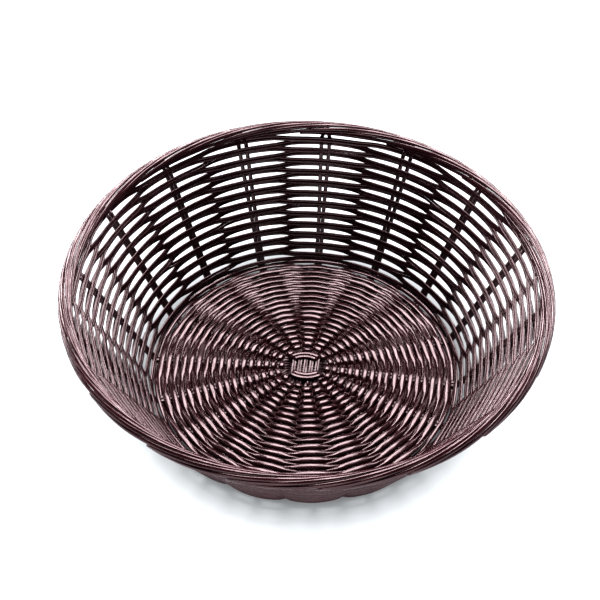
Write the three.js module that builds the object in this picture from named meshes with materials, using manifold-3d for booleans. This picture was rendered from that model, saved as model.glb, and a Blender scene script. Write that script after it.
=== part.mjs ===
// Round woven fruit basket: 17 paired sticks fan out from a crossed centre, bend up as the
// stakes of a flared wall and are held by a woven base, a foot wale, a woven wall and a border.
// Millimetres, +Z up. The origin is under the middle of the base, on the surface it stands on.
import * as THREE from "three";
import { mergeVertices } from "three/addons/utils/BufferGeometryUtils.js";
import Module from "manifold-3d";

// Driving dimensions
const RIM_RADIUS = 150;
const HEIGHT = 88.5;
const BORDER_WIDTH = 10;
const BORDER_HEIGHT = 9;
const SPOKES = 17;
const STICK = 1.6;
const GAP = 0.3;
const WEAVE_THICKNESS = 4.4;
const SLOT_HEIGHT = STICK + 2 * GAP;
const BASE_RADIUS = 94;
const BASE_RISE = 4.1;
const BASE_EDGE_HEIGHT = 2.6;
const FAN_RADIUS = 24;
const FAN_STEPS = 4;
const BEND_RADIUS = 7;
const WALL_ANGLE = THREE.MathUtils.degToRad(60.4);
const WALL_START = 4;
const WALL_TOP = 79.5;
const STICK_TOP = 79.5;
const PAIR_SPREAD_AT_RIM = 6.4;
const FOOT_WIDTH_OUT = 13.2;
const AROUND = 68;

const PITCH = STICK + GAP;
const LANE = 2 * PITCH;
const TURN = 2 * Math.PI;

// The spokes of one side of the crossed centre, by number, in the order of their lanes.
const UPPER_FRONT = [1, 0, null, 16, 15];
const UPPER_BACK = [6, 7, 8, 9, 10];
const LOWER_LEFT = [11, 12, 13, 14];
const LOWER_RIGHT = [5, 4, 3, 2];

const wasm = await Module();
wasm.setup();

const basket = new THREE.Group();

// Hand weaving leaves the spokes slightly crowded on one side and open on the other.
function spokeAngle(number) {
  const even = 275 + (number * 360) / SPOKES;
  const drift = 5 * Math.cos(THREE.MathUtils.degToRad(even - 165));
  return THREE.MathUtils.degToRad(even + drift);
}

// Height of the middle of the domed base weave at a radius.
function baseHeight(radius) {
  return BASE_EDGE_HEIGHT + BASE_RISE * (1 - (radius / BASE_RADIUS) ** 2);
}

// The middle of the weave as radius and height: base, bend and wall.
const bendCentre = new THREE.Vector2(BASE_RADIUS + 1, BASE_EDGE_HEIGHT + BEND_RADIUS);
const wallFoot = bendPoint(WALL_ANGLE, 0);
const wallUp = new THREE.Vector2(Math.cos(WALL_ANGLE), Math.sin(WALL_ANGLE));
const wallOut = new THREE.Vector2(Math.sin(WALL_ANGLE), -Math.cos(WALL_ANGLE));

// A point of the bend, turned by an angle from the base, and set out from its middle.
function bendPoint(angle, out) {
  const reach = BEND_RADIUS + out;
  return new THREE.Vector2(
    bendCentre.x + reach * Math.sin(angle),
    bendCentre.y - reach * Math.cos(angle),
  );
}

// A point of the wall at a distance up the slant, and set out from its middle.
function wallPoint(along, out) {
  return wallFoot.clone().addScaledVector(wallUp, along).addScaledVector(wallOut, out);
}

// Distance up the slant at which the middle of the wall reaches a height.
function alongAtHeight(height) {
  return (height - wallFoot.y) / wallUp.y;
}

// A path through chosen stations, one sweep step from each station to the next.
class StationPath extends THREE.Curve {
  constructor(stations) {
    super();
    this.stations = stations;
  }

  getPoint(t, target = new THREE.Vector3()) {
    const place = t * (this.stations.length - 1);
    const index = Math.min(Math.floor(place), this.stations.length - 2);
    return target.lerpVectors(this.stations[index], this.stations[index + 1], place - index);
  }

  getUtoTmapping(u) {
    return u;
  }
}

// Keeps only the positions, with shared vertices merged.
function bare(geometry) {
  const copy = geometry.clone();
  copy.deleteAttribute("normal");
  copy.deleteAttribute("uv");
  return mergeVertices(copy, 1e-4);
}

function toManifold(geometry) {
  const merged = bare(geometry);
  return new wasm.Manifold(
    new wasm.Mesh({
      numProp: 3,
      vertProperties: merged.attributes.position.array,
      triVerts: new Uint32Array(merged.index.array),
    }),
  );
}

function fromManifold(solid) {
  const mesh = solid.getMesh();
  const geometry = new THREE.BufferGeometry();
  geometry.setAttribute("position", new THREE.BufferAttribute(mesh.vertProperties, 3));
  geometry.setIndex(new THREE.BufferAttribute(mesh.triVerts, 1));
  return geometry;
}

function cutAway(geometry, cutters) {
  let solid = toManifold(geometry);
  for (const cutter of cutters) {
    solid = solid.subtract(toManifold(cutter));
  }
  return fromManifold(solid);
}

function sweep(outline, stations) {
  const path = new StationPath(stations);
  return new THREE.ExtrudeGeometry(outline, { steps: stations.length - 1, extrudePath: path });
}

// Turns a closed outline of radius and height about the Z axis.
function ring(outline) {
  const turned = new THREE.LatheGeometry([...outline, outline[0]], AROUND);
  return bare(turned.rotateX(Math.PI / 2));
}

function rectangle(width, height) {
  const shape = new THREE.Shape();
  shape.moveTo(-width / 2, -height / 2);
  shape.lineTo(width / 2, -height / 2);
  shape.lineTo(width / 2, height / 2);
  shape.lineTo(-width / 2, height / 2);
  shape.closePath();
  return shape;
}

function hexagon(across) {
  const shape = new THREE.Shape();
  const corner = across / 2;
  for (let i = 0; i < 6; i += 1) {
    const angle = (i * TURN) / 6;
    const x = corner * Math.cos(angle);
    const y = corner * Math.sin(angle);
    if (i === 0) shape.moveTo(x, y);
    else shape.lineTo(x, y);
  }
  shape.closePath();
  return shape;
}

function addPiece(name, geometry, colour, roughness) {
  const material = new THREE.MeshStandardMaterial({ color: colour, roughness, metalness: 0 });
  const mesh = new THREE.Mesh(geometry, material);
  mesh.name = name;
  basket.add(mesh);
}

const stickColour = new THREE.Color(0.14, 0.08, 0.08);
const weaveColour = new THREE.Color(0.2, 0.12, 0.12);
const borderColour = new THREE.Color(0.24, 0.15, 0.15);

// ---- Sticks ----

// A point beside a spoke: radius along it, side step to its left, and height.
function besideSpoke(angle, radius, side, height) {
  return new THREE.Vector3(
    radius * Math.cos(angle) - side * Math.sin(angle),
    radius * Math.sin(angle) + side * Math.cos(angle),
    height,
  );
}

// Stations of one half of a stick, from the edge of the crossing out and up to the border.
// The two sticks of a pair run beside the pair's middle line, which begins at start.
function halfStick(angle, side, start, heading) {
  const spoke = new THREE.Vector3(Math.cos(angle), Math.sin(angle), 0);
  const fanEnd = besideSpoke(angle, FAN_RADIUS, 0, baseHeight(FAN_RADIUS));
  const reach = start.distanceTo(fanEnd) / 3;
  const fan = new THREE.CubicBezierCurve3(
    start,
    start.clone().addScaledVector(heading, reach),
    fanEnd.clone().addScaledVector(spoke, -reach),
    fanEnd,
  );
  const stations = [];
  for (let step = 0; step <= FAN_STEPS; step += 1) {
    const tangent = fan.getTangent(step / FAN_STEPS).setZ(0).normalize();
    const left = new THREE.Vector3(-tangent.y, tangent.x, 0);
    stations.push(fan.getPoint(step / FAN_STEPS).addScaledVector(left, side));
  }
  for (const radius of [47, 71, BASE_RADIUS + 1]) {
    const height = baseHeight(Math.min(radius, BASE_RADIUS));
    stations.push(besideSpoke(angle, radius, side, height));
  }
  for (const share of [1 / 3, 2 / 3, 1]) {
    const point = bendPoint(share * WALL_ANGLE, 0);
    stations.push(besideSpoke(angle, point.x, side, point.y));
  }
  const top = wallPoint(alongAtHeight(STICK_TOP), 0);
  const topSide = Math.sign(side) * (PAIR_SPREAD_AT_RIM / 2);
  stations.push(besideSpoke(angle, top.x, topSide, top.y));
  return stations;
}

// The mean direction of the spokes of one side.
function meanDirection(numbers) {
  const sum = new THREE.Vector3();
  for (const number of numbers) {
    if (number !== null) {
      const angle = spokeAngle(number);
      sum.add(new THREE.Vector3(Math.cos(angle), Math.sin(angle), 0));
    }
  }
  return sum.normalize();
}

// One layer of the crossed centre: parallel sticks in lanes, fanned out at both ends.
function addLayer(layer, ahead, behind, level, halfLength, colour) {
  const heading = meanDirection(ahead).sub(meanDirection(behind)).normalize();
  const left = new THREE.Vector3(-heading.y, heading.x, 0);
  const height = baseHeight(0) + level;
  let pair = 0;
  for (let lane = 0; lane < ahead.length; lane += 1) {
    const added = behind[lane] === null;
    if (!added) pair += 1;
    const offset = (lane - (ahead.length - 1) / 2) * LANE;
    const middle = left.clone().multiplyScalar(offset).setZ(height);
    const start = middle.clone().addScaledVector(heading, halfLength);
    const end = middle.clone().addScaledVector(heading, -halfLength);
    for (const [letter, step] of [["a", -PITCH / 2], ["b", PITCH / 2]]) {
      const front = halfStick(spokeAngle(ahead[lane]), step, start, heading);
      const back = added
        ? [end.clone().addScaledVector(left, step)]
        : halfStick(spokeAngle(behind[lane]), -step, end, heading.clone().negate());
      const name = added ? `added_stick_${letter}` : `${layer}_stick_${pair}${letter}`;
      addPiece(name, sweep(hexagon(STICK), [...back.reverse(), ...front]), colour, 0.35);
    }
  }
}

const crossing = PITCH / 2;
const upperHalf = (LOWER_LEFT.length * LANE) / 2 + 1;
const lowerHalf = (UPPER_BACK.length * LANE) / 2 + 1;
addLayer("upper", UPPER_BACK, UPPER_FRONT, crossing, upperHalf, stickColour);
addLayer("lower", LOWER_LEFT, LOWER_RIGHT, -crossing, lowerHalf, stickColour);

// ---- Base weave ----

function baseWeave() {
  const half = WEAVE_THICKNESS / 2;
  const radii = [FAN_RADIUS, 48, 72, BASE_RADIUS];
  const under = radii.map((r) => new THREE.Vector2(r, baseHeight(r) - half));
  const over = radii.map((r) => new THREE.Vector2(r, baseHeight(r) + half));
  const slot = rectangle(LANE + GAP, SLOT_HEIGHT);
  const cutters = [];
  for (let number = 0; number < SPOKES; number += 1) {
    const stations = [FAN_RADIUS - 2, 36, 48, 60, 72, 84, BASE_RADIUS + 2];
    const path = stations.map((r) => new THREE.Vector3(r, 0, baseHeight(r)));
    cutters.push(sweep(slot, path).rotateZ(spokeAngle(number)));
  }
  return cutAway(ring([...under, ...over.reverse()]), cutters);
}

addPiece("base_weave", baseWeave(), weaveColour, 0.4);

// ---- Foot wale ----

// The ring under the bend of the sticks, flat where the basket stands on it.
function footWale() {
  const clear = STICK / 2 + GAP + 0.05;
  const inside = BASE_RADIUS + GAP + 0.1;
  const outside = BASE_RADIUS + FOOT_WIDTH_OUT;
  const outline = [
    new THREE.Vector2(inside, 0),
    new THREE.Vector2(outside - 4.2, 0),
    new THREE.Vector2(outside - 0.8, 3),
    new THREE.Vector2(outside, 6.4),
    wallPoint(1.6, clear + 0.2),
    bendPoint(WALL_ANGLE, clear),
    bendPoint(WALL_ANGLE / 2, clear),
    new THREE.Vector2(inside + 2, BASE_EDGE_HEIGHT - clear),
    new THREE.Vector2(inside, BASE_EDGE_HEIGHT - clear),
  ];
  return ring(outline);
}

addPiece("foot_wale", footWale(), weaveColour, 0.4);

// ---- Wall weave ----

function wallWeave() {
  const half = WEAVE_THICKNESS / 2;
  const top = alongAtHeight(WALL_TOP);
  const outline = [
    wallPoint(WALL_START, -half),
    wallPoint(WALL_START, half),
    wallPoint(top, half),
    wallPoint(top, -half),
  ];
  const low = WALL_START - 2;
  const high = top + 2;
  const spread = PAIR_SPREAD_AT_RIM - PITCH;
  const lowWidth = LANE + GAP + (spread * low) / high;
  const highWidth = LANE + GAP + spread;
  const pocket = new THREE.Shape();
  pocket.moveTo(-lowWidth / 2, low);
  pocket.lineTo(lowWidth / 2, low);
  pocket.lineTo(highWidth / 2, high);
  pocket.lineTo(-highWidth / 2, high);
  pocket.closePath();
  const sideways = new THREE.Vector3(0, 1, 0);
  const up = new THREE.Vector3(wallUp.x, 0, wallUp.y);
  const out = new THREE.Vector3(wallOut.x, 0, wallOut.y);
  const frame = new THREE.Matrix4().makeBasis(sideways, up, out);
  frame.setPosition(wallFoot.x, 0, wallFoot.y);
  const cutters = [];
  for (let number = 0; number < SPOKES; number += 1) {
    const block = new THREE.ExtrudeGeometry(pocket, { depth: SLOT_HEIGHT, bevelEnabled: false });
    block.translate(0, 0, -SLOT_HEIGHT / 2).applyMatrix4(frame);
    cutters.push(block.rotateZ(spokeAngle(number)));
  }
  return cutAway(ring(outline), cutters);
}

addPiece("wall_weave", wallWeave(), weaveColour, 0.4);

// ---- Border ----

// The stick ends, folded down and laid round the rim in a roll, as one ring.
function border() {
  const corners = 10;
  const outline = [];
  for (let i = 0; i < corners; i += 1) {
    const angle = ((i + 0.5) * TURN) / corners;
    const reach = 1 / Math.cos(Math.PI / corners);
    outline.push(
      new THREE.Vector2(
        RIM_RADIUS - (BORDER_WIDTH / 2) * (1 - Math.cos(angle) * reach),
        HEIGHT - (BORDER_HEIGHT / 2) * (1 - Math.sin(angle)),
      ),
    );
  }
  return ring(outline);
}

addPiece("rim_border", border(), borderColour, 0.35);

export default basket;
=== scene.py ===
import math

import bpy
import numpy as np
from mathutils import Matrix, Vector


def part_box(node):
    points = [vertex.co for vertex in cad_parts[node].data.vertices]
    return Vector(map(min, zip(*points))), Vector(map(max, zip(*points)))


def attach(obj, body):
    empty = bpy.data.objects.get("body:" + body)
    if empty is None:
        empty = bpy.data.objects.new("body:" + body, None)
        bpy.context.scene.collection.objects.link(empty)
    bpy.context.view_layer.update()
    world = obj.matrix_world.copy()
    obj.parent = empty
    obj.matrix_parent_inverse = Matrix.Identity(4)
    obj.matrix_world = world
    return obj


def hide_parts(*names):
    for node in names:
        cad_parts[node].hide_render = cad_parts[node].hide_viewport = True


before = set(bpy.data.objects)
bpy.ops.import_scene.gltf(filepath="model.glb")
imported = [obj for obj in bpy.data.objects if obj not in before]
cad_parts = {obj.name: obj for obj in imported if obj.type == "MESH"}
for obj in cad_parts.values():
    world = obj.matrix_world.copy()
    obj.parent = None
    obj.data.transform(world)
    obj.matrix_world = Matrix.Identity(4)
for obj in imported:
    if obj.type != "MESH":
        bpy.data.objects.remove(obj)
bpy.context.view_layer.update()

# ---- Sizes of the bowl, in metres and radians ----

MM = 0.001
RIM_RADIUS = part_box("rim_border")[1].x
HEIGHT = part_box("rim_border")[1].z
BASE_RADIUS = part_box("base_weave")[1].x
SPOKES = 17
BASE_RISE = 4.1 * MM
BASE_EDGE_HEIGHT = 2.75 * MM
EDGE_STEP = 1 * MM
BEND_RADIUS = 7 * MM
WALL_ANGLE = math.radians(60.4)
WALL_TOP = 79.5 * MM
WALL_SPARE = 6 * MM
BASE_POINTS = 120
BEND_POINTS = 40
WALL_POINTS = 90

# The spokes crowd a little on one side. All three are in degrees.
FIRST_SPOKE = 275
CROWDING = 5
CROWDED_SIDE = 165

# ---- Sizes of the strands ----

# Flat plastic tapes with rounded edges. The wall is woven with a rounder pair.
STICK_WIDTH = 2.55 * MM
STICK_THICK = 1.6 * MM
WEAVER_WIDTH = 3.6 * MM
WEAVER_THICK = 1.4 * MM
BINDING_WIDTH = 2.7 * MM
FOOT_WEAVER_WIDTH = 2.8 * MM
WALL_WEAVER_WIDTH = 1.9 * MM
WALL_WEAVER_THICK = 1.5 * MM
BORDER_STRAND_WIDTH = 2.65 * MM
BORDER_STRAND_THICK = 1.7 * MM
RIB_DEPTH = 0.035 * MM
WALL_RIB_DEPTH = 0.2 * MM
BORDER_RIB_DEPTH = WALL_RIB_DEPTH * 0.6
GROOVE_SHARE = 0.6
OUTER_CORNER = 0.95
STICK_EDGE_HEIGHTS = (-0.72, -0.55, 0, 0.55, 0.72)

# The ribs on each face of a strand, and the power that makes the face flatter.
STICK_SHAPE = (3, 6)
BASE_SHAPE = (3, 2.3)
BINDING_SHAPE = (3, 3.6)
FOOT_SHAPE = (2, 2.3)
WALL_SHAPE = (2, 2.0)
BORDER_SHAPE = (2, 2.5)

# Half the distance between the middles of two strands side by side, in strand widths.
PAIR_SPACING = 0.53
WALL_PAIR_SPACING = 0.47
PAIR_HALF = STICK_WIDTH * PAIR_SPACING

# ---- Sizes of the weave ----

BASE_PITCH = 2.44 * MM
WALL_PITCH = 3.66 * MM
FOOT_PITCH = 2.5 * MM
FOOT_ROUNDS = 3
BASE_FIRST = 13.5 * MM
BASE_GAP = 0.4 * MM
WALL_GAP = 0.7 * MM
WALL_OVERRUN = 1.6 * MM
SWING = (STICK_THICK + WEAVER_THICK) / 2 + 0.02 * MM
BASE_LEAN = math.radians(38)
FOOT_LEAN = math.radians(22)
BASE_WIDENING = 0.14
WALL_SWAY = 0.66 * MM
WALL_BULGE = 0.8 * MM

# The over-and-under wave is a mix of straight runs with sharp turns and a stepped wave. The base
# is stepped where the stakes are close together, and less so the further apart they are.
TURN_SHARPNESS = 0.955
STEEPNESS = 3.0
WALL_STEPPED = 0.7
STEPPED_MOST = 1.25
STEPPED_INTERVAL = 22 * MM

# A weaver leans where the wave is low, over a span of it, and eases again under a stake.
LEAN_STARTS = 0.6
LEAN_SPAN = 0.9
EASE = 0.6
EASE_STARTS = -0.6
EASE_SPAN = 0.4

# Rings of the mesh from one stake to the next. The base has fewer near the centre.
CENTRE_RINGS = 9
CENTRE_U = 40 * MM
BASE_RINGS = 10
FOOT_RINGS = 12
WALL_RINGS = 10
BINDING_RINGS = 150

# Slow random changes along a weaver: the stakes between two of them, and their size.
LIFT_NOISE = (1.7, 0.05 * MM)
SPACING_NOISE = (1.6, 0.12 * MM)
ROLL_NOISE = (0.8, math.radians(5))

# ---- Sizes of the crossing ----

# The spokes of each side of the crossed centre, in the order of their lanes. None is a cut end.
UPPER_BACK = (6, 7, 8, 9, 10)
UPPER_FRONT = (1, 0, None, 16, 15)
LOWER_LEFT = (11, 12, 13, 14)
LOWER_RIGHT = (5, 4, 3, 2)

# The sticks lie on edge there, side by side, and lie down flat as they fan out.
FAN_RADIUS = 19 * MM
LANE_PITCH = 2 * STICK_THICK + 0.5 * MM
FAN_RINGS = 14
LIE_DOWN_PACE = 1.4
LIE_DOWN_POWER = 1.5
ON_EDGE_HALF = STICK_THICK * 0.46
ON_EDGE_ROLL = math.pi / 2
ON_EDGE_RINGS = 6
UPPER_HALF_LENGTH = 7.5 * MM
LOWER_HALF_LENGTH = 9 * MM
CUT_END = 3.5 * MM

# The two binding rounds, as an ellipse that grows, and where it changes from under to over.
BINDING_HALF = (9.0 * MM, 6.2 * MM)
BINDING_PITCH = 2.6 * MM
BINDING_TURN = (0.1, 4 * math.pi - 0.3)
BINDING_CHANGE = 0.62
BINDING_CHANGE_SPAN = 0.22

# ---- Sizes of the border ----

# The middle of the roll as radius and height, its own radius, and the way of a fold round it: where
# it comes up, turns and how far it climbs from one stake to the next. The last two are below the top.
BORDER_CENTRE = (RIM_RADIUS - 4.5 * MM, HEIGHT - 4.4 * MM)
BORDER_ROLL = 3.55 * MM
FOLD_LOW = math.radians(-112)
FOLD_TURN = math.radians(-24)
FOLD_CORNER = 3.0 * MM
FOLD_CLIMB = math.radians(80)
FOLD_STAKES = 3.3
FOLD_STARTS = 3 * MM
STICK_STOPS = 1 * MM

# ---- Random changes ----

random = np.random.default_rng(17)
# The pairs part a little towards the rim, from a share of the wall's height, and most at the back.
OPENING_STARTS = 0.3
OPEN_STAKES = (7, 8, 9)
EXTRA_OPENING = 1.2 * MM
PAIR_OPENING = random.uniform(0.05, 0.35, SPOKES) * MM
PAIR_OPENING[list(OPEN_STAKES)] += EXTRA_OPENING

UPWARDS = (0.0, 0.0, 1.0)


# ---- The shape that everything follows ----

def spoke_angle(number):
    """Direction of a spoke, or of a place between two, for a whole number or a fraction."""
    even = FIRST_SPOKE + np.asarray(number, float) * 360 / SPOKES
    return np.radians(even + CROWDING * np.cos(np.radians(even - CROWDED_SIDE)))


def make_profile():
    """The middle of the weave: distance along it from the centre, radius, height, inward normal."""
    radius = np.linspace(0, BASE_RADIUS, BASE_POINTS)
    height = BASE_EDGE_HEIGHT + BASE_RISE * (1 - (radius / BASE_RADIUS) ** 2)
    turn = np.linspace(0, WALL_ANGLE, BEND_POINTS)
    centre = (BASE_RADIUS + EDGE_STEP, BASE_EDGE_HEIGHT + BEND_RADIUS)
    bend_r = centre[0] + BEND_RADIUS * np.sin(turn)
    bend_z = centre[1] - BEND_RADIUS * np.cos(turn)
    climb = WALL_TOP + WALL_SPARE - bend_z[-1]
    along = np.linspace(0, 1, WALL_POINTS)[1:] * climb / math.sin(WALL_ANGLE)
    wall_r = bend_r[-1] + along * math.cos(WALL_ANGLE)
    wall_z = bend_z[-1] + along * math.sin(WALL_ANGLE)
    r = np.concatenate([radius, bend_r, wall_r])
    z = np.concatenate([height, bend_z, wall_z])
    u = np.concatenate([[0], np.cumsum(np.hypot(np.diff(r), np.diff(z)))])
    dr, dz = np.gradient(r, u), np.gradient(z, u)
    size = np.hypot(dr, dz)
    return u, r, z, -dz / size, dr / size


PROFILE = make_profile()
BEND_U = float(np.interp(BASE_RADIUS, PROFILE[1], PROFILE[0]))
WALL_U = BEND_U + EDGE_STEP + BEND_RADIUS * WALL_ANGLE
WALL_PART = slice(BASE_POINTS + BEND_POINTS, None)
TOP_U = float(np.interp(WALL_TOP, PROFILE[2][WALL_PART], PROFILE[0][WALL_PART]))
BASE_LAST = BEND_U - BASE_GAP
FOOT_FIRST = BASE_LAST + BASE_GAP
FOOT_LAST = FOOT_FIRST + FOOT_ROUNDS * FOOT_PITCH
WALL_FIRST = FOOT_LAST + WALL_GAP
WALL_LAST = TOP_U + WALL_OVERRUN
FOOT_START = SPOKES * (BASE_LAST - BASE_FIRST) / BASE_PITCH
WALL_START = FOOT_START + SPOKES * FOOT_ROUNDS


def place(angle, u, lift=0.0, side=0.0):
    """Points and inward normals: an angle, a distance along the profile, a lift, a side step."""
    given = (np.asarray(v, float) for v in (angle, u, lift, side))
    angle, u, lift, side = np.broadcast_arrays(*given)
    r = np.interp(u, PROFILE[0], PROFILE[1])
    z = np.interp(u, PROFILE[0], PROFILE[2])
    nr = np.interp(u, PROFILE[0], PROFILE[3])
    nz = np.interp(u, PROFILE[0], PROFILE[4])
    cos, sin = np.cos(angle), np.sin(angle)
    reach = r + lift * nr
    points = np.stack([reach * cos - side * sin, reach * sin + side * cos, z + lift * nz], -1)
    normals = np.stack([nr * cos, nr * sin, nz], -1)
    return points, normals


# ---- Strands ----

def strand_section(width, thick, ribs, power, rib_depth=RIB_DEPTH, edge_heights=(0.0,)):
    """An outline ribbed on both faces, flatter with more power, and each corner's place across."""
    corners = ribs * 2 + 1
    across = np.linspace(-OUTER_CORNER, OUTER_CORNER, corners)
    body = (1 - np.abs(across) ** power) ** (1 / power)
    rib = np.where(np.arange(corners) % 2 == 1, rib_depth, -rib_depth * GROOVE_SHARE)
    top = np.stack([across * width / 2, body * thick / 2 + rib], -1)
    bottom = -top
    edge = np.array([[width / 2, height * thick / 2] for height in edge_heights])
    outline = np.concatenate([edge, top[::-1], -edge, bottom[::-1]])
    ends = np.ones(len(edge))
    place_across = np.concatenate([ends, across[::-1], -ends, across])
    return outline, place_across


def unit(v):
    return v / np.maximum(np.linalg.norm(v, axis=-1, keepdims=True), 1e-12)


def sweep(points, normals, section, roll=0.0, scale=1.0):
    """A section carried along points with its flat side facing the normals, as one strand's mesh."""
    outline, across = section
    points = np.asarray(points, float)
    tangent = unit(np.gradient(points, axis=0))
    up = unit(normals - tangent * np.sum(normals * tangent, -1, keepdims=True))
    side = np.cross(tangent, up)
    roll = np.broadcast_to(np.asarray(roll, float), len(points))[:, None]
    scale = np.broadcast_to(np.asarray(scale, float), len(points))[:, None, None]
    flat_side = side * np.cos(roll) + up * np.sin(roll)
    flat_up = up * np.cos(roll) - side * np.sin(roll)
    sideways, upwards = outline[None, :, :1], outline[None, :, 1:]
    offset = flat_side[:, None] * sideways + flat_up[:, None] * upwards
    vertices = points[:, None] + offset * scale
    n, m = len(points), len(outline)
    ring = np.arange(n * m).reshape(n, m)
    turned = np.roll(ring, -1, axis=1)
    quads = np.stack([ring[:-1], turned[:-1], turned[1:], ring[1:]], -1).reshape(-1, 4)
    along = np.concatenate([[0], np.cumsum(np.linalg.norm(np.diff(points, axis=0), axis=1))])
    return {
        "vertices": vertices.reshape(-1, 3),
        "quads": quads,
        "caps": [ring[0][::-1], ring[-1]],
        "along": np.repeat(along, m),
        "across": np.tile(across, n),
    }


def add_piece(name, strands, material, nodes=()):
    """One object from one or more swept strands, riding on the basket."""
    starts = np.concatenate([[0], np.cumsum([len(s["vertices"]) for s in strands])])
    vertices = np.concatenate([s["vertices"] for s in strands])
    quads = np.concatenate([s["quads"] + first for s, first in zip(strands, starts)])
    caps = [cap + first for s, first in zip(strands, starts) for cap in s["caps"]]
    mesh = bpy.data.meshes.new(name)
    mesh.vertices.add(len(vertices))
    mesh.vertices.foreach_set("co", vertices.astype(np.float32).ravel())
    corners = np.concatenate([quads.ravel()] + caps)
    sizes = np.concatenate([np.full(len(quads), 4), [len(cap) for cap in caps]]).astype(int)
    mesh.loops.add(len(corners))
    mesh.loops.foreach_set("vertex_index", corners.astype(np.int32))
    mesh.polygons.add(len(sizes))
    firsts = np.concatenate([[0], np.cumsum(sizes)[:-1]])
    mesh.polygons.foreach_set("loop_start", firsts.astype(np.int32))
    mesh.polygons.foreach_set("use_smooth", np.arange(len(sizes)) < len(quads))
    for key in ("along", "across"):
        values = np.concatenate([s[key] for s in strands]).astype(np.float32)
        mesh.attributes.new(key, "FLOAT", "POINT").data.foreach_set("value", values)
    tone = np.concatenate([np.full(len(s["vertices"]), random.random()) for s in strands])
    tones = mesh.attributes.new("tone", "FLOAT", "POINT")
    tones.data.foreach_set("value", tone.astype(np.float32))
    mesh.update(calc_edges=True)
    mesh.validate()
    piece = bpy.data.objects.new(name, mesh)
    bpy.context.scene.collection.objects.link(piece)
    mesh.materials.append(material)
    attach(piece, "root")
    if nodes:
        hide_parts(*nodes)
    return piece


def smooth_step(share):
    share = np.clip(share, 0, 1)
    return share * share * (3 - 2 * share)


def smooth_noise(count, spacing, size):
    """Slow random change along a strand."""
    knots = max(4, int(count / spacing) + 3)
    values = random.normal(0, size, knots)
    at = np.linspace(0, knots - 1.001, count)
    low = at.astype(int)
    share = smooth_step(at - low)
    return values[low] * (1 - share) + values[low + 1] * share


# ---- Materials ----

# Noise along the strand, across it, and its detail: broad patches of tone and fine streaks.
PATCHES = (45, 0.6, 2)
FINE_STREAKS = (130, 2.6, 3)
STRAND_SPREAD = 40
PATCH_RANGE = (0.3, 0.72)
DARK_TONE = 0.62
LIGHT_TONE = 1.45
STREAK_RANGE = (0.36, 0.64)
STREAK_SMOOTHER = 0.08
STREAK_ROUGHER = 0.18
GROOVE_STRENGTH = 0.04
GROOVE_DEPTH = 0.00006
PLASTIC_IOR = 1.5
GLOSS = 0.85
GLOSS_TINT = (1.0, 0.78, 0.81, 1.0)


def strand_material(name, colour, roughness):
    """Glossy extruded plastic: dull streaks along it, faint grooves and slight changes of tone."""
    material = bpy.data.materials.new(name)
    material.use_nodes = True
    nodes = material.node_tree.nodes
    links = material.node_tree.links
    nodes.clear()
    output = nodes.new("ShaderNodeOutputMaterial")
    shader = nodes.new("ShaderNodeBsdfPrincipled")
    shader.inputs["IOR"].default_value = PLASTIC_IOR
    shader.inputs["Specular IOR Level"].default_value = GLOSS
    shader.inputs["Specular Tint"].default_value = GLOSS_TINT
    links.new(shader.outputs["BSDF"], output.inputs["Surface"])

    along = nodes.new("ShaderNodeAttribute")
    along.attribute_name = "along"
    across = nodes.new("ShaderNodeAttribute")
    across.attribute_name = "across"
    tone = nodes.new("ShaderNodeAttribute")
    tone.attribute_name = "tone"
    place_on = nodes.new("ShaderNodeCombineXYZ")
    links.new(along.outputs["Fac"], place_on.inputs["X"])
    links.new(across.outputs["Fac"], place_on.inputs["Y"])
    links.new(tone.outputs["Fac"], place_on.inputs["Z"])

    def streaks(along_scale, across_scale, detail):
        stretch = nodes.new("ShaderNodeVectorMath")
        stretch.operation = "MULTIPLY"
        stretch.inputs[1].default_value = (along_scale, across_scale, STRAND_SPREAD)
        links.new(place_on.outputs["Vector"], stretch.inputs[0])
        noise = nodes.new("ShaderNodeTexNoise")
        noise.inputs["Scale"].default_value = 1.0
        noise.inputs["Detail"].default_value = detail
        links.new(stretch.outputs["Vector"], noise.inputs["Vector"])
        return noise.outputs["Fac"]

    patches = streaks(*PATCHES)
    fine = streaks(*FINE_STREAKS)
    ramp = nodes.new("ShaderNodeValToRGB")
    dark, light = ramp.color_ramp.elements
    dark.position, light.position = PATCH_RANGE
    dark.color = (*[c * DARK_TONE for c in colour], 1)
    light.color = (*[c * LIGHT_TONE for c in colour], 1)
    links.new(patches, ramp.inputs["Fac"])
    links.new(ramp.outputs["Color"], shader.inputs["Base Color"])

    rough = nodes.new("ShaderNodeMapRange")
    rough.inputs["From Min"].default_value = STREAK_RANGE[0]
    rough.inputs["From Max"].default_value = STREAK_RANGE[1]
    rough.inputs["To Min"].default_value = roughness - STREAK_SMOOTHER
    rough.inputs["To Max"].default_value = roughness + STREAK_ROUGHER
    links.new(fine, rough.inputs["Value"])
    links.new(rough.outputs["Result"], shader.inputs["Roughness"])

    bump = nodes.new("ShaderNodeBump")
    bump.inputs["Strength"].default_value = GROOVE_STRENGTH
    bump.inputs["Distance"].default_value = GROOVE_DEPTH
    links.new(fine, bump.inputs["Height"])
    links.new(bump.outputs["Normal"], shader.inputs["Normal"])
    return material


WEAVE_MATERIAL = strand_material("weaver_plastic", (0.035, 0.0085, 0.012), 0.17)
# The sticks take a darker copy of the plastic than the border folds made of their own ends: painted
# shade for where they lie between the weavers.
SHADED_STICK_MATERIAL = strand_material("stick_plastic_painted_shade", (0.024, 0.006, 0.009), 0.3)
BORDER_MATERIAL = strand_material("border_plastic", (0.038, 0.0088, 0.0125), 0.17)


# ---- Weavers ----

def stake_wave(place_on_round, share):
    """1 where a strand passes over a stake, -1 under the next: straight runs, and a stepped share."""
    cosine = np.cos(math.pi * place_on_round)
    straight = np.arcsin(TURN_SHARPNESS * cosine) / math.asin(TURN_SHARPNESS)
    stepped = cosine * STEEPNESS / np.sqrt(1 + (STEEPNESS ** 2 - 1) * cosine ** 2)
    return straight * (1 - share) + stepped * share


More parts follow.
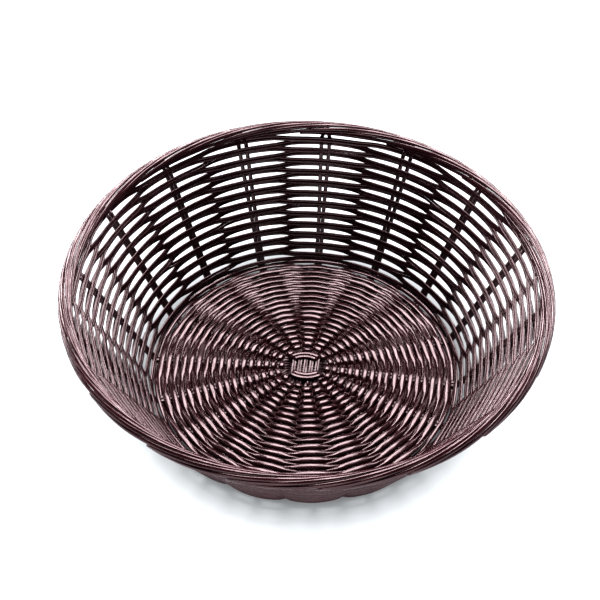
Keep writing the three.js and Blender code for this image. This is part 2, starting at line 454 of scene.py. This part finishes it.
def spiral_course(first_u, last_u, pitch, rings_at, phase=0.0, sway=0.0, lean=0.0, bulge=0.0):
    """A strand's way over and under the stake pairs: angle, u, lift, roll and wave of each ring."""
    turns = (last_u - first_u) / pitch
    stops = []
    at = 0.0
    while at < turns * SPOKES:
        stops.append(at)
        at += 1 / rings_at(first_u + at / SPOKES * pitch)
    at = np.array(stops)
    u = first_u + at / SPOKES * pitch
    radius = np.interp(u, PROFILE[0], PROFILE[1])
    interval = 2 * math.pi * radius / SPOKES
    base_stepped = np.clip(STEPPED_MOST - interval / STEPPED_INTERVAL, 0, 1)
    wave = stake_wave(at + phase, np.where(u < FOOT_FIRST, base_stepped, WALL_STEPPED))
    per_stake = len(at) / (turns * SPOKES)

    def uneven(stakes, size):
        return smooth_noise(len(at), per_stake * stakes, size)

    lift = SWING * wave - bulge * np.clip(-wave, 0, 1) ** 1.5
    lift = lift + uneven(*LIFT_NOISE)
    u = u + uneven(*SPACING_NOISE) - sway * stake_wave(at + phase, 1.0)
    eased = 1 - EASE * smooth_step((EASE_STARTS - wave) / EASE_SPAN)
    turned = smooth_step((LEAN_STARTS - wave) / LEAN_SPAN) * eased
    roll = lean * turned + uneven(*ROLL_NOISE)
    return spoke_angle(at + phase), u, lift, roll, wave


def binding():
    """The strand's first two rounds, over the upper layer of the crossing and under the lower one."""
    turn = np.linspace(*BINDING_TURN, BINDING_RINGS)
    growth = turn / (2 * math.pi) * BINDING_PITCH
    x = (BINDING_HALF[0] + growth) * np.cos(turn)
    y = (BINDING_HALF[1] + growth) * np.sin(turn)
    change = (np.abs(np.sin(turn)) - BINDING_CHANGE) / BINDING_CHANGE_SPAN
    over = smooth_step(change + 0.5) * 2 - 1
    z = BASE_EDGE_HEIGHT + BASE_RISE + over * (STICK_WIDTH + WEAVER_THICK / 2)
    section = strand_section(BINDING_WIDTH, WEAVER_THICK, *BINDING_SHAPE)
    return sweep(np.stack([x, y, z], -1), np.tile(UPWARDS, (len(turn), 1)), section)


def base_weaver():
    """The long spiral of the base, leaning between the spokes and wider over them."""
    def rings_at(u):
        return CENTRE_RINGS if u < CENTRE_U else BASE_RINGS

    angle, u, lift, roll, wave = spiral_course(
        BASE_FIRST, BASE_LAST, BASE_PITCH, rings_at, lean=BASE_LEAN)
    section = strand_section(WEAVER_WIDTH, WEAVER_THICK, *BASE_SHAPE)
    wider = 1 + BASE_WIDENING * smooth_step(wave)
    strands = [sweep(*place(angle, u, lift), section, roll, wider), binding()]
    add_piece("base_weaver", strands, WEAVE_MATERIAL, ["base_weave"])


def wall_weaver():
    """A doubled strand in open rounds, swaying down in front of the stakes and up behind them."""
    section = strand_section(WALL_WEAVER_WIDTH, WALL_WEAVER_THICK, *WALL_SHAPE, WALL_RIB_DEPTH)
    angle, u, lift, roll, _ = spiral_course(
        WALL_FIRST, WALL_LAST, WALL_PITCH, lambda u: WALL_RINGS,
        phase=WALL_START, sway=WALL_SWAY, bulge=WALL_BULGE)
    for letter, side in (("a", -1), ("b", 1)):
        step = side * WALL_WEAVER_WIDTH * WALL_PAIR_SPACING
        points, normals = place(angle, u + step * np.cos(roll), lift + step * np.sin(roll))
        strand = sweep(points, normals, section, -roll)
        nodes = ["wall_weave"] if side < 0 else ()
        add_piece(f"wall_weaver_{letter}", [strand], WEAVE_MATERIAL, nodes)


def foot_wale():
    """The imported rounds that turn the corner, going on where the base weaver stops."""
    angle, u, lift, roll, _ = spiral_course(
        FOOT_FIRST, FOOT_LAST, FOOT_PITCH, lambda u: FOOT_RINGS,
        phase=FOOT_START, lean=FOOT_LEAN)
    section = strand_section(FOOT_WEAVER_WIDTH, WEAVER_THICK, *FOOT_SHAPE, WALL_RIB_DEPTH)
    strand = sweep(*place(angle, u, lift), section, roll)
    add_piece("foot_wale_strand", [strand], WEAVE_MATERIAL, ["foot_wale"])


# ---- Sticks ----

def bezier(a, b, c, d, count):
    """Points along a cubic curve from a to d."""
    t = np.linspace(0, 1, count)[:, None]
    return a * (1 - t) ** 3 + 3 * b * t * (1 - t) ** 2 + 3 * c * t ** 2 * (1 - t) + d * t ** 3


def mean_direction(numbers):
    """The middle direction of some spokes, lying flat."""
    angles = spoke_angle([n for n in numbers if n is not None])
    return unit(np.array([np.cos(angles).sum(), np.sin(angles).sum(), 0.0]))


def fan_out(number, side, start, heading):
    """From the crossing to the spoke's line, lying down flat: points, normals and roll."""
    angle = float(spoke_angle(number))
    spoke = np.array([math.cos(angle), math.sin(angle), 0.0])
    end = place(angle, FAN_RADIUS)[0]
    reach = np.linalg.norm(end - start) / 3
    middle = bezier(start, start + heading * reach, end - spoke * reach, end, FAN_RINGS)
    tangent = unit(np.gradient(middle, axis=0) * [1, 1, 0])
    left = np.stack([-tangent[:, 1], tangent[:, 0], np.zeros(len(tangent))], -1)
    share = np.linspace(0, 1, len(middle))
    step = (ON_EDGE_HALF + (PAIR_HALF - ON_EDGE_HALF) * share) * side
    points = middle + left * step[:, None]
    normals = np.tile(UPWARDS, (len(points), 1))
    roll = ON_EDGE_ROLL * (1 - np.clip(share * LIE_DOWN_PACE, 0, 1)) ** LIE_DOWN_POWER
    return points, normals, roll


def pair_half(number, u):
    """Half the spacing of a pair: closed on the base and low wall, opening towards the rim."""
    climb = (u - WALL_U) / (TOP_U - WALL_U)
    share = np.clip((climb - OPENING_STARTS) / (1 - OPENING_STARTS), 0, 1)
    return PAIR_HALF + PAIR_OPENING[number] * share


def spoke_and_stake(number, side):
    """From the fan out along the base, round the bend and up the wall."""
    u = np.concatenate([
        np.linspace(FAN_RADIUS, BEND_U, 16)[1:],
        np.linspace(BEND_U, WALL_U, 9)[1:],
        np.linspace(WALL_U, TOP_U - STICK_STOPS, 16)[1:],
    ])
    return place(float(spoke_angle(number)), u, 0.0, pair_half(number, u) * side)


def stick_half(number, side, start, heading):
    """One end of a stick, from the crossing to the rim."""
    points, normals, roll = fan_out(number, side, start, heading)
    more, more_normals = spoke_and_stake(number, side)
    roll = np.concatenate([roll, np.zeros(len(more))])
    return np.concatenate([points, more]), np.concatenate([normals, more_normals]), roll


def layer_of_sticks(layer, ahead, behind, level, half_length):
    """Parallel sticks on edge across the centre, fanned out at both ends."""
    heading = unit(mean_direction(ahead) - mean_direction(behind))
    left = np.array([-heading[1], heading[0], 0.0])
    height = BASE_EDGE_HEIGHT + BASE_RISE + level
    section = strand_section(
        STICK_WIDTH, STICK_THICK, *STICK_SHAPE, RIB_DEPTH, STICK_EDGE_HEIGHTS)
    pair = 0
    for lane, number in enumerate(ahead):
        cut_end = behind[lane] is None
        pair += 0 if cut_end else 1
        offset = (lane - (len(ahead) - 1) / 2) * LANE_PITCH
        middle = left * offset + [0, 0, height]
        start = middle + heading * half_length
        end = middle - heading * half_length
        for letter, side in (("a", -1), ("b", 1)):
            front = stick_half(number, side, start, heading)
            if cut_end:
                tail = end + left * ON_EDGE_HALF * side - heading * CUT_END
                back = ([tail], [UPWARDS], [ON_EDGE_ROLL])
            else:
                back = stick_half(behind[lane], -side, end, -heading)
            share = np.linspace(0, 1, ON_EDGE_RINGS + 2)[1:-1, None]
            between = np.tile(UPWARDS, (ON_EDGE_RINGS, 1))
            on_edge = np.full(ON_EDGE_RINGS, ON_EDGE_ROLL)
            straight = back[0][0] * (1 - share) + front[0][0] * share
            points = np.concatenate([back[0][::-1], straight, front[0]])
            normals = np.concatenate([back[1][::-1], between, front[1]])
            roll = np.concatenate([back[2][::-1], on_edge, front[2]])
            name = f"added_stick_{letter}" if cut_end else f"{layer}_stick_{pair}{letter}"
            strand = sweep(points, normals, section, roll)
            add_piece(name + "_strand", [strand], SHADED_STICK_MATERIAL, [name])


# ---- Border ----

def border_path(x, turn):
    """A point of the rolled border and its outward normal: x round the rim, turn round the roll."""
    r = BORDER_CENTRE[0] + BORDER_ROLL * np.cos(turn)
    z = BORDER_CENTRE[1] + BORDER_ROLL * np.sin(turn)
    points = np.stack([r * np.cos(x), r * np.sin(x), z], -1)
    normals = np.stack([np.cos(turn) * np.cos(x), np.cos(turn) * np.sin(x), np.sin(turn)], -1)
    return points, normals


def border_fold(number):
    """A stick pair's ends: up out of the wall, round the outside in a fold and along the rim."""
    section = strand_section(
        BORDER_STRAND_WIDTH, BORDER_STRAND_THICK, *BORDER_SHAPE, BORDER_RIB_DEPTH)
    angle = float(spoke_angle(number))
    spacing = float(spoke_angle(number + 1) - spoke_angle(number)) * BORDER_CENTRE[0]
    slope = FOLD_CLIMB * BORDER_ROLL / spacing
    low = FOLD_LOW * BORDER_ROLL
    turn_at = FOLD_TURN * BORDER_ROLL
    rise = np.linspace(low, turn_at - FOLD_CORNER, 8)[:-1]
    arc = np.linspace(0, math.pi / 2 - slope, 14)
    run = np.linspace(0, FOLD_STAKES * spacing, 80)[1:]
    x_arc = FOLD_CORNER * (1 - np.cos(arc))
    x_run = FOLD_CORNER * (1 - math.sin(slope)) + run
    x = np.concatenate([np.zeros(len(rise)), x_arc, x_run])
    y_arc = turn_at - FOLD_CORNER + FOLD_CORNER * np.sin(arc)
    y = np.concatenate([rise, y_arc, y_arc[-1] + run * slope])
    direction = unit(np.stack([np.gradient(x), np.gradient(y)], -1))
    strands = []
    for side in (-1, 1):
        step = side * BORDER_STRAND_WIDTH * PAIR_SPACING
        sx = x + direction[:, 1] * step
        sy = y - direction[:, 0] * step
        points, normals = border_path(angle + sx / BORDER_CENTRE[0], sy / BORDER_ROLL)
        u = np.linspace(TOP_U - FOLD_STARTS, TOP_U - STICK_STOPS, 3)
        start, start_normals = place(angle, u, 0.0, pair_half(number, u) * side)
        points = np.concatenate([start, points])
        normals = np.concatenate([-start_normals, normals])
        strands.append(sweep(points, normals, section))
    return strands


def border():
    for number in range(SPOKES):
        name = f"border_fold_{number + 1:02d}"
        nodes = ["rim_border"] if number == 0 else ()
        add_piece(name, border_fold(number), BORDER_MATERIAL, nodes)


base_weaver()
foot_wale()
wall_weaver()
layer_of_sticks("upper", UPPER_BACK, UPPER_FRONT, STICK_WIDTH / 2, UPPER_HALF_LENGTH)
layer_of_sticks("lower", LOWER_LEFT, LOWER_RIGHT, -STICK_WIDTH / 2, LOWER_HALF_LENGTH)
border()


# ---- Stage ----

FLOOR_SIZE = 8
FLOOR_EDGE_RADIUS = 3.9
FLOOR_EDGE_HEIGHT = 1.1
PAPER_COLOUR = (0.18, 0.184, 0.19)
PAPER_ROUGHNESS = 0.9
# A painted glow on the floor: none under the basket, full beyond the rim, leaving a painted soft
# shadow round it.
GLOW_COLOUR = (0.94, 0.975, 1.0, 1)
GLOW_STARTS = BASE_RADIUS - 12 * MM
GLOW_FULL = RIM_RADIUS - 8 * MM
GLOW_STRENGTH = 0.92

# Each softbox: its name, place, the height of its aim above the middle, size and power.
SOFTBOXES = (
    ("softbox_back", (0, 1.04, 1.95), 0.03, (1.3, 1.15), 48),
    ("softbox_left", (-0.95, 1.2, 0.5), 0.05, (1.8, 0.4), 35),
    ("softbox_right", (0.95, 1.2, 0.5), 0.05, (1.8, 0.4), 29),
    ("softbox_front", (0, -1.7, 0.5), 0.05, (2.2, 0.8), 10),
)
STUDIO_COLOUR = (0.85, 0.93, 1, 1)
STUDIO_STRENGTH = 0.035

CAMERA_ELEVATION = math.radians(47.56)
CAMERA_TILT = math.radians(0.77)
CAMERA_DISTANCE = 6 * RIM_RADIUS
CAMERA_AIM = (-0.027 * RIM_RADIUS, -0.077 * RIM_RADIUS, BORDER_CENTRE[1])
CAMERA_LENS = 89.9


def plain_material(name, colour, roughness):
    material = bpy.data.materials.new(name)
    material.use_nodes = True
    shader = material.node_tree.nodes["Principled BSDF"]
    shader.inputs["Base Color"].default_value = (*colour, 1)
    shader.inputs["Roughness"].default_value = roughness
    return material


def make_floor():
    """White paper with a painted glow that fades out towards the basket, so the floor under and round
    it holds a painted soft shadow, with a low edge far off.
    """
    bpy.ops.mesh.primitive_plane_add(size=FLOOR_SIZE)
    floor = bpy.context.object
    floor.name = "floor"
    paper = plain_material("floor_paper_painted_glow", PAPER_COLOUR, PAPER_ROUGHNESS)
    nodes = paper.node_tree.nodes
    links = paper.node_tree.links
    place_on_floor = nodes.new("ShaderNodeTexCoord")
    distance = nodes.new("ShaderNodeVectorMath")
    distance.operation = "LENGTH"
    links.new(place_on_floor.outputs["Object"], distance.inputs[0])
    # Painted light: emission that grows with distance from the middle; the dark ring near the basket
    # is painted shadow.
    glow = nodes.new("ShaderNodeMapRange")
    glow.interpolation_type = "SMOOTHSTEP"
    glow.inputs["From Min"].default_value = GLOW_STARTS
    glow.inputs["From Max"].default_value = GLOW_FULL
    glow.inputs["To Max"].default_value = GLOW_STRENGTH
    links.new(distance.outputs["Value"], glow.inputs["Value"])
    shader = nodes["Principled BSDF"]
    shader.inputs["Emission Color"].default_value = GLOW_COLOUR
    links.new(glow.outputs["Result"], shader.inputs["Emission Strength"])
    floor.data.materials.append(paper)
    bpy.ops.mesh.primitive_cylinder_add(
        vertices=64, radius=FLOOR_EDGE_RADIUS, depth=FLOOR_EDGE_HEIGHT, end_fill_type="NOTHING")
    edge = bpy.context.object
    edge.name = "floor_edge"
    edge.data.materials.append(paper)


def area_light(name, location, aim_height, size, power):
    data = bpy.data.lights.new(name, "AREA")
    data.shape = "RECTANGLE"
    data.size, data.size_y = size
    data.energy = power
    lamp = bpy.data.objects.new(name, data)
    lamp.location = location
    aim = Vector((0, 0, aim_height)) - Vector(location)
    lamp.rotation_euler = aim.to_track_quat("-Z", "Y").to_euler()
    bpy.context.scene.collection.objects.link(lamp)


def make_lights():
    for softbox in SOFTBOXES:
        area_light(*softbox)
    world = bpy.data.worlds.new("studio")
    world.use_nodes = True
    background = world.node_tree.nodes["Background"]
    background.inputs["Color"].default_value = STUDIO_COLOUR
    background.inputs["Strength"].default_value = STUDIO_STRENGTH
    bpy.context.scene.world = world


def make_camera():
    """A long lens above the front, tipped down at the bowl."""
    back = Vector((0, -math.cos(CAMERA_ELEVATION), math.sin(CAMERA_ELEVATION)))
    right = Vector((1, 0, 0))
    up = back.cross(right)
    tipped_right = right * math.cos(CAMERA_TILT) + up * math.sin(CAMERA_TILT)
    tipped_up = up * math.cos(CAMERA_TILT) - right * math.sin(CAMERA_TILT)
    data = bpy.data.cameras.new("camera")
    data.lens = CAMERA_LENS
    data.sensor_width = 36
    data.clip_start = 0.05
    camera = bpy.data.objects.new("camera", data)
    turn = Matrix((tipped_right, tipped_up, back)).transposed()
    place_of_camera = Vector(CAMERA_AIM) + back * CAMERA_DISTANCE
    camera.matrix_world = Matrix.Translation(place_of_camera) @ turn.to_4x4()
    bpy.context.scene.collection.objects.link(camera)
    bpy.context.scene.camera = camera


make_floor()
make_lights()
make_camera()
bpy.context.scene.view_settings.view_transform = "Standard"
bpy.context.scene.view_settings.look = "High Contrast"
